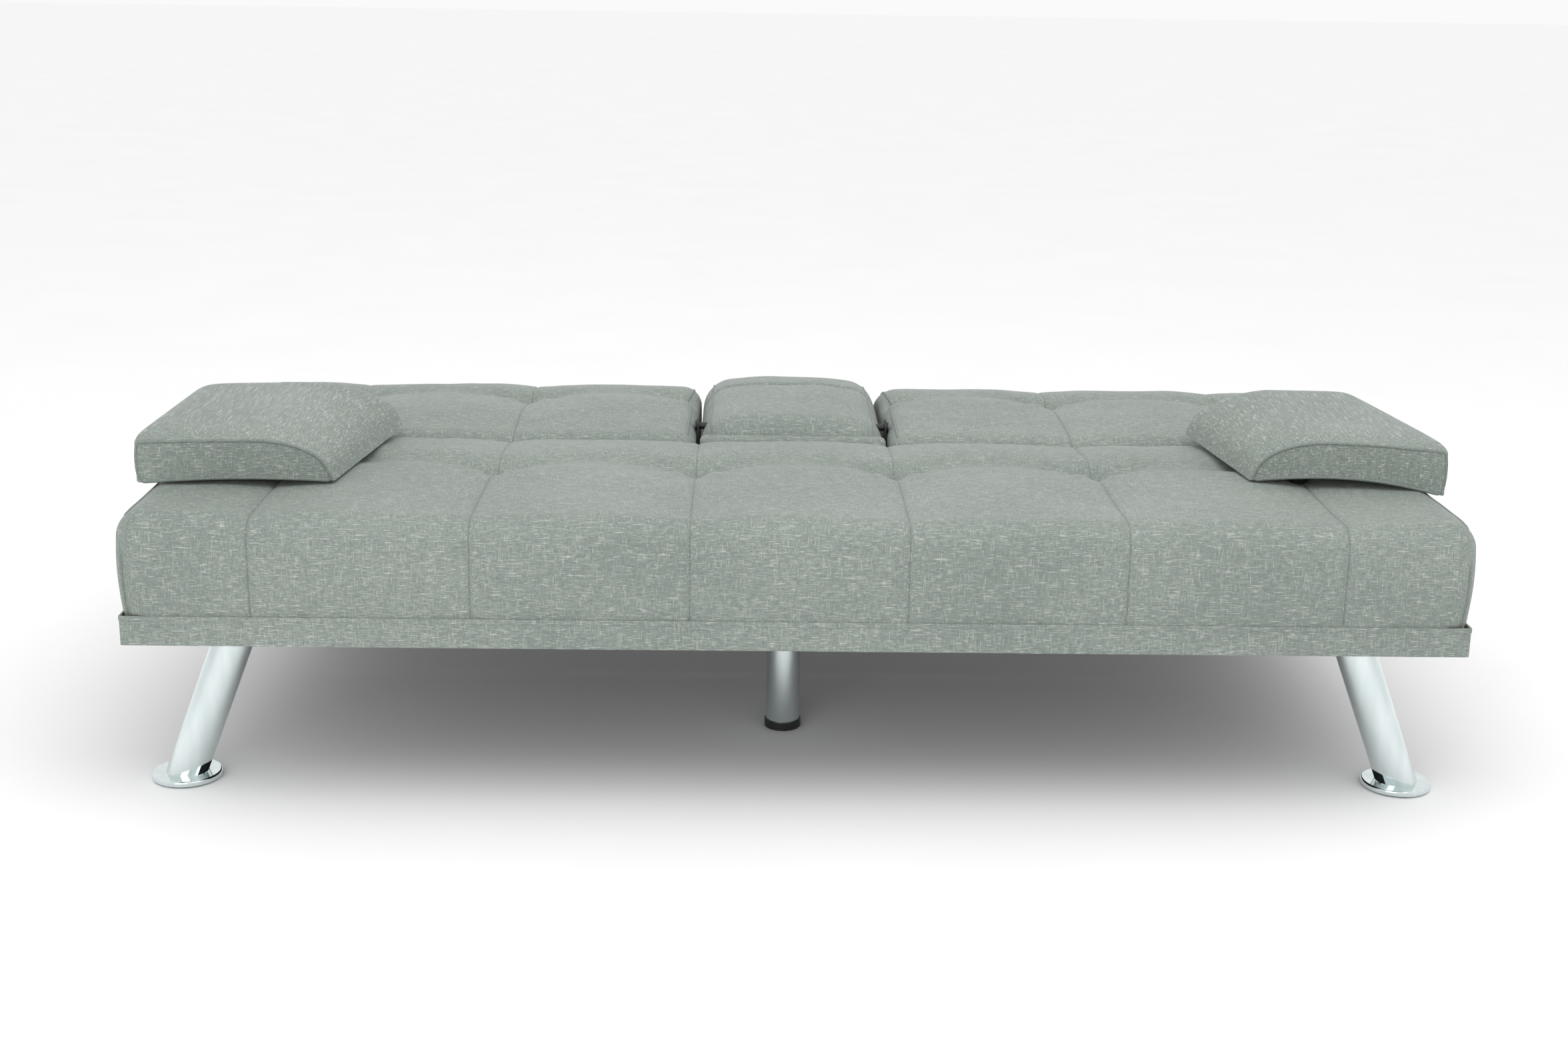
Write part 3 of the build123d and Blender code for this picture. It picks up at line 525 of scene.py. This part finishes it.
def console_shape(point):
    """Places a point of the console's cover."""
    at, out = roll_edges(point, console_low, console_high, console_edge)
    side = min(abs(at.x) / console_high.x, 1.0)
    along = share(at.y, console_low.y, 0.40)
    rise = console_crown * (1.0 - side**2.4) * sin(pi * (0.08 + 0.84 * along)) ** 0.6
    rise -= groove_depth * exp(-(((at.y - console_seam_y - 0.010 * side) / groove_width) ** 2))
    at += out * max(out.z, 0.0) * (rise + 0.0016 * noise.noise(point * 14.0))
    past = share(at.y, console_fall_y, console_fall_length)
    drop = console_fall_drop * (1.0 - sqrt(1.0 - past * past))
    at.z = console_low.z + (at.z - console_low.z) * (1.0 - drop / (console_high.z - console_low.z))
    bulge = side_bulge * sin(pi * share(at.z, console_low.z, 0.1))
    at.x += max(abs(out.x) - 0.5, 0.0) * (bulge if out.x > 0 else -bulge)
    below = rod_z - at.z
    if below > 0.0:
        front = rod_y - sqrt(max(nose_radius * nose_radius - below * below, 0.0))
        at.y = max(at.y, min(front, tray_low.y))
    return at


console_rows = [rows(console_low[a], console_high[a], 0.65 * pitch) for a in range(3)]
console_rows[1] = rows(console_low.y, console_high.y, 0.65 * pitch, [console_seam_y])
console_cover = soft_block("console_cover", *console_rows, console_shape, console_linen)
drop_faces(
    console_cover,
    lambda c: c.z < console_low.z + 0.0005
    and abs(c.x) < tray_high.x - tray_rim
    and tray_low.y + tray_rim < c.y < tray_high.y - tray_rim,
)
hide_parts("console_cushion")
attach(console_cover, "console")
for side, s in (("left", -1), ("right", 1)):
    outline = end_outline(console_low, console_high, console_shape, s * (console_high.x - console_piping_in))
    pipe(f"console_piping_{side}", outline[3:], "console", 0.0018)
for edge, y, z, radius in (
    ("front", console_low.y, console_high.z - 0.014, 0.0018),
    ("rear", console_seam_y, console_high.z, 0.0009),
):
    seam = [console_shape(Vector((0.01 * n, y, z))) for n in range(-12, 13)]
    pipe(f"console_{edge}_seam", seam, "console", radius)


# --- lip in front of the console -----------------------------------------------------------------
# Narrow padded strip on its own board, which closes the gap between the seat and the console.
lip_low, lip_high = [Vector(v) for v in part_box("console_lip_cushion")]
lip_edge, lip_lean, lean_height = 0.009, 0.35, 0.028


def lip_shape(point):
    """Places a point of the lip's cover, whose front leans back near the top."""
    at, out = roll_edges(point, lip_low, lip_high, lip_edge)
    at.y = min(at.y + lip_lean * max(at.z - (lip_high.z - lean_height), 0.0), lip_high.y)
    return at + out * 0.0006 * noise.noise(point * 20.0)


lip_rows = [rows(lip_low[a], lip_high[a], step) for a, step in enumerate((0.008, 0.003, 0.006))]
lip_cover = soft_block("console_lip_cover", *lip_rows, lip_shape, console_linen)
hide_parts("console_lip_cushion")
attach(lip_cover, "back")


# --- console tray, cup holders and plastic caps --------------------------------------------------
# Moulded black polypropylene with a fine spark-eroded grain that keeps it from shining. The
# grain is drawn about 0.7 mm across, several times its real size, so that it can show.
moulded = mottled(
    "moulded_polypropylene", "121213", "1D1D1E", (1500.0, 1500.0, 1500.0), 0.0002, Roughness=0.38
)
nylon = mottled("white_nylon", "D5D4CE", "E4E3DE", (500.0, 500.0, 500.0), 0.0001, Roughness=0.5)
finish_nodes(moulded, "black_plastic")
finish_nodes(nylon, "nylon")


# --- steel arms, hinges and brackets -------------------------------------------------------------
# Pressed and welded steel in black powder coat, which has a slight orange-peel surface.
powder_coat = mottled("black_powder_coat", "1A1A1B", "262728", (900.0, 900.0, 900.0), 0.0002, Roughness=0.45)
finish_nodes(powder_coat, "black_steel")
for place in frame["nodes"]["console_rod"].material_slots:
    place.material = powder_coat


# --- chrome legs and feet ------------------------------------------------------------------------
# Chromed steel tubes and flanged feet, polished to a mirror with faint marks along the tube.
chrome = mottled(
    "polished_chrome", "D2DCDC", "DFE8E8", (60.0, 60.0, 9.0), 0.00002, Metallic=1.0, Roughness=0.07
)
finish_nodes(chrome, "chrome_tube")


# --- felt glides and rubber rests ----------------------------------------------------------------
# Dark wool felt under the feet, and black rubber where the back rests on the cross tube.
felt = mottled("grey_felt", "2A2A2A", "454545", (1200.0, 1200.0, 1200.0), 0.0008, Roughness=0.95)
rubber = mottled("black_rubber", "141414", "1F1F1F", (800.0, 800.0, 800.0), 0.0003, Roughness=0.8)
finish_nodes(felt, "felt")
finish_nodes(rubber, "rubber")


# --- armrest pads --------------------------------------------------------------------------------
# Loose foam pads with a flat outer end and a long rounded nose, piped round both D-shaped ends.
# Each cover is blown full by cloth pressure; its slubs run from front to rear.
# Corners of a pad's outline: outer front, nose front, outer rear, nose rear.
pad_corners = {
    "left": ((-0.838, -0.338), (-0.587, -0.323), (-0.828, -0.042), (-0.549, -0.008)),
    "right": ((0.838, -0.309), (0.589, -0.269), (0.790, -0.008), (0.557, -0.002)),
}
pad_arch = {"left": (0.004, 0.002), "right": (0.009, 0.010)}
pad_nose, pad_inset, pad_foot = 0.105, 0.0025, 0.002
end_pinch, end_pinch_length, pad_crown = 0.13, 0.010, 0.0125
pad_cells = (40, 46, 10)
pad_top_linen = linen("linen_pad_top", ground, shade, slub, fleck=1.25, streaks="Y", length=24.0)
pad_end_linen = linen("linen_pad_end", ground, shade, slub, fleck=1.1)
pad_floor, pad_ceiling = [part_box("armrest_pad_left")[n][2] for n in (0, 1)]


def fill_cover(piece, pressure, cap):
    """Blows a closed cover out with cloth pressure, moving no point further than cap."""
    start = [v.co.copy() for v in piece.data.vertices]
    cloth = piece.modifiers.new("filling", "CLOTH")
    for key, value in (
        ("quality", 5),
        ("mass", 0.3),
        ("tension_stiffness", 25.0),
        ("compression_stiffness", 25.0),
        ("bending_stiffness", 0.6),
        ("use_pressure", True),
        ("uniform_pressure_force", pressure),
    ):
        setattr(cloth.settings, key, value)
    cloth.settings.effector_weights.gravity = 0.0
    for number in range(1, 21):
        scene.frame_set(number)
    filled = piece.evaluated_get(bpy.context.evaluated_depsgraph_get()).data
    moved = [v.co.copy() for v in filled.vertices]
    piece.modifiers.remove(cloth)
    scene.frame_set(1)
    for vertex, first, last in zip(piece.data.vertices, start, moved):
        way = last - first
        vertex.co = first + way * min(1.0, cap / max(way.length, 1e-9))


for side, places in pad_corners.items():
    corners = [Vector(place) for place in places]
    arch, droop = pad_arch[side]

    def pad_shape(point, corners=corners, arch=arch, droop=droop):
        """Places a point given by its shares of the pad's width, length and thickness."""
        inward, along, up = point
        outer = corners[0].lerp(corners[2], along)
        tip = corners[1].lerp(corners[3], along)
        width = (tip - outer).length
        length = (corners[2] - corners[0]).length
        at = outer.lerp(tip, pad_inset / width + inward * (1.0 - 2 * pad_inset / width))
        past = max((inward * width - width + pad_nose) / pad_nose, 0.0)
        near_end = min(along, 1.0 - along) * length
        thick = (pad_ceiling - pad_floor - 0.004) * (1.0 - end_pinch * exp(-near_end / end_pinch_length))
        thick *= sqrt(max(1.0 - past**2.2, 0.0))
        crown = (1.0 - exp(-inward / 0.04)) * (1.0 - min(past, 1.0)) * (1.0 - exp(-near_end / 0.008))
        thick += pad_crown * along**0.7 * crown
        front = (1.0 - along) ** 3
        under = arch * sin(pi * inward) * front - droop * (1.0 - inward) ** 4 * front
        z = pad_floor + pad_foot + up * thick + (1.0 - up * 0.7) * under
        return Vector((at.x, at.y, z))

    pad_rows = [[n / count for n in range(count + 1)] for count in pad_cells]
    pad = soft_block(f"armrest_cover_{side}", *pad_rows, pad_shape, pad_top_linen, pad_end_linen)
    outlines = {}
    for end, along in (("front", 0.0), ("rear", 1.0)):
        over = [pad_shape(Vector((n / 20, along, 1.0))) for n in range(21)]
        under = [pad_shape(Vector((1.0 - n / 12, along, 0.0))) for n in range(1, 13)]
        outlines[end] = over + under
    for face in pad.data.polygons:
        face.material_index = 1 if abs(face.normal.y) > 0.72 else 0
    fill_cover(pad, 3.0, 0.005)
    rounding = pad.modifiers.new("smooth_cloth", "SUBSURF")
    rounding.levels = rounding.render_levels = 2
    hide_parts(f"armrest_pad_{side}")
    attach(pad, f"armrest_{side}")
    surface = pad.evaluated_get(bpy.context.evaluated_depsgraph_get())
    for end, outline in outlines.items():
        on_cover = [surface.closest_point_on_mesh(point)[1] for point in outline]
        pipe(f"armrest_{end}_piping_{side}", on_cover, f"armrest_{side}", 0.0022, closed=True)
